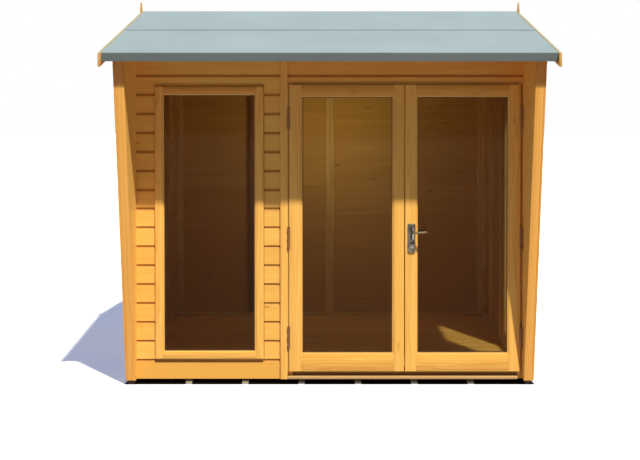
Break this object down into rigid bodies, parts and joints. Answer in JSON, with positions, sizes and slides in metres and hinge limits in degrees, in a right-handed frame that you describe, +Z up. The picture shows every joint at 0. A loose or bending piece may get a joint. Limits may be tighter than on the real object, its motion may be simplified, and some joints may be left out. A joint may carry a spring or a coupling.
{
  "type": "summerhouse",
  "caption": "Timber summerhouse with tapered forward wings, a tall window bay, a pair of hinged glazed doors with a lever handle, and an offset apex felt roof.",
  "frame": {"origin": "on the ground below the middle of the whole roof", "axes": "+X to the right seen from the front, +Y from the front to the back, +Z up"},
  "size_m": [2.6, 2.344, 2.382],
  "materials": {
    "cladding": "honey stained softwood boards",
    "joinery": "honey stained planed softwood",
    "framing": "stained sawn softwood",
    "floor": "stained floor boards",
    "bearer": "pressure treated softwood",
    "roof_boards": "sawn softwood roof boards",
    "felt": "mineral surfaced roofing felt",
    "glass": "clear glazing",
    "hinge_steel": "dull plated steel",
    "handle_metal": "satin nickel plated metal"
  },
  "bodies": {
    "house": {"floor_bearers": "bearer", "floor_deck": "floor", "front_cladding": "cladding", "front_framing": "framing", "header_cladding": "cladding", "door_posts": "framing", "door_head": "framing", "door_sill": "cladding", "cover_strip": "cladding", "window_casing": "joinery", "window_glass": "glass", "left_wall": "cladding", "right_wall": "cladding", "left_wall_framing": "framing", "right_wall_framing": "framing", "left_window_casing": "joinery", "right_window_casing": "joinery", "left_window_glass": "glass", "right_window_glass": "glass", "wing_linings": "cladding", "wing_trims": "cladding", "back_wall": "cladding", "back_wall_framing": "framing", "back_strips": "cladding", "roof_framing": "framing", "front_roof_boards": "roof_boards", "back_roof_boards": "roof_boards", "front_lower_felt": "felt", "front_upper_felt": "felt", "back_felt": "felt", "fascias": "cladding", "left_bargeboards": "cladding", "right_bargeboards": "cladding", "finials": "cladding", "frame_hinges": "hinge_steel"},
    "left_door": {"left_door": "joinery", "left_door_glass": "glass", "left_door_hinges": "hinge_steel"},
    "right_door": {"right_door": "joinery", "right_door_glass": "glass", "right_door_hinges": "hinge_steel", "handle_plates": "handle_metal"},
    "door_lever": {"door_lever": "handle_metal"}
  },
  "joints": [
    {"name": "left_door_hinge", "type": "hinge", "parent": "house", "child": "left_door", "pos_m": [-0.2465, -0.744, 0.937], "axis": [0, 0, -1], "range_deg": [0, 110]},
    {"name": "right_door_hinge", "type": "hinge", "parent": "house", "child": "right_door", "pos_m": [1.1465, -0.744, 0.937], "axis": [0, 0, 1], "range_deg": [0, 90]},
    {"name": "lever_turn", "type": "hinge", "parent": "right_door", "child": "door_lever", "pos_m": [0.4895, -0.743, 0.917], "axis": [0, 1, 0], "range_deg": [0, 40], "stiffness_Nm_per_rad": 0.6, "springref_deg": -11.46}
  ]
}
